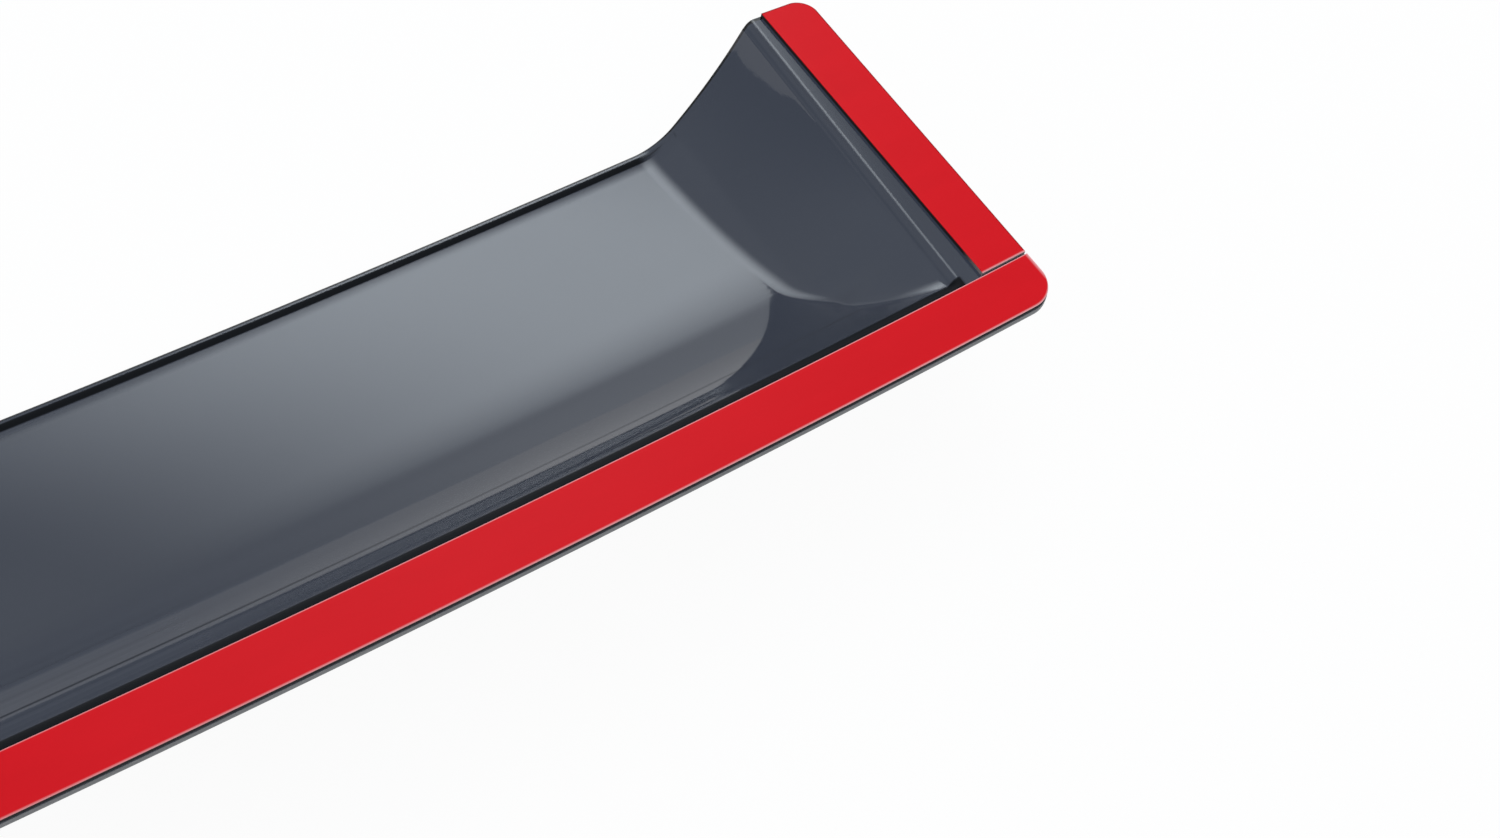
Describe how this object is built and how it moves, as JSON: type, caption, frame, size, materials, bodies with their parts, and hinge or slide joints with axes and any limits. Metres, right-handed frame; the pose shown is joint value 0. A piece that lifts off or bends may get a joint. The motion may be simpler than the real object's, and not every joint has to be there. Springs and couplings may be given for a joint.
{
  "type": "window rain deflector",
  "caption": "Long moulded tape-on wind and rain deflector for a car's front side window, with a flared, walled rear end and foam tapes under release liners.",
  "frame": {"origin": "where the centre lines of the long tape and the end tape cross, on the outer face of the liners", "axes": "+X along the deflector to its flared rear end, +Y from the flange to the free lip, +Z out of the tapes, towards the window frame that they stick to"},
  "size_m": [0.76, 0.0947, 0.0282],
  "materials": {
    "smoked_acrylic": "polished",
    "foam_tape": "matt",
    "release_liner": "satin"
  },
  "bodies": {
    "root": {"visor_shell": "smoked_acrylic", "long_foam_tape": "foam_tape", "long_liner": "release_liner", "end_foam_tape": "foam_tape", "end_liner": "release_liner"}
  },
  "joints": []
}
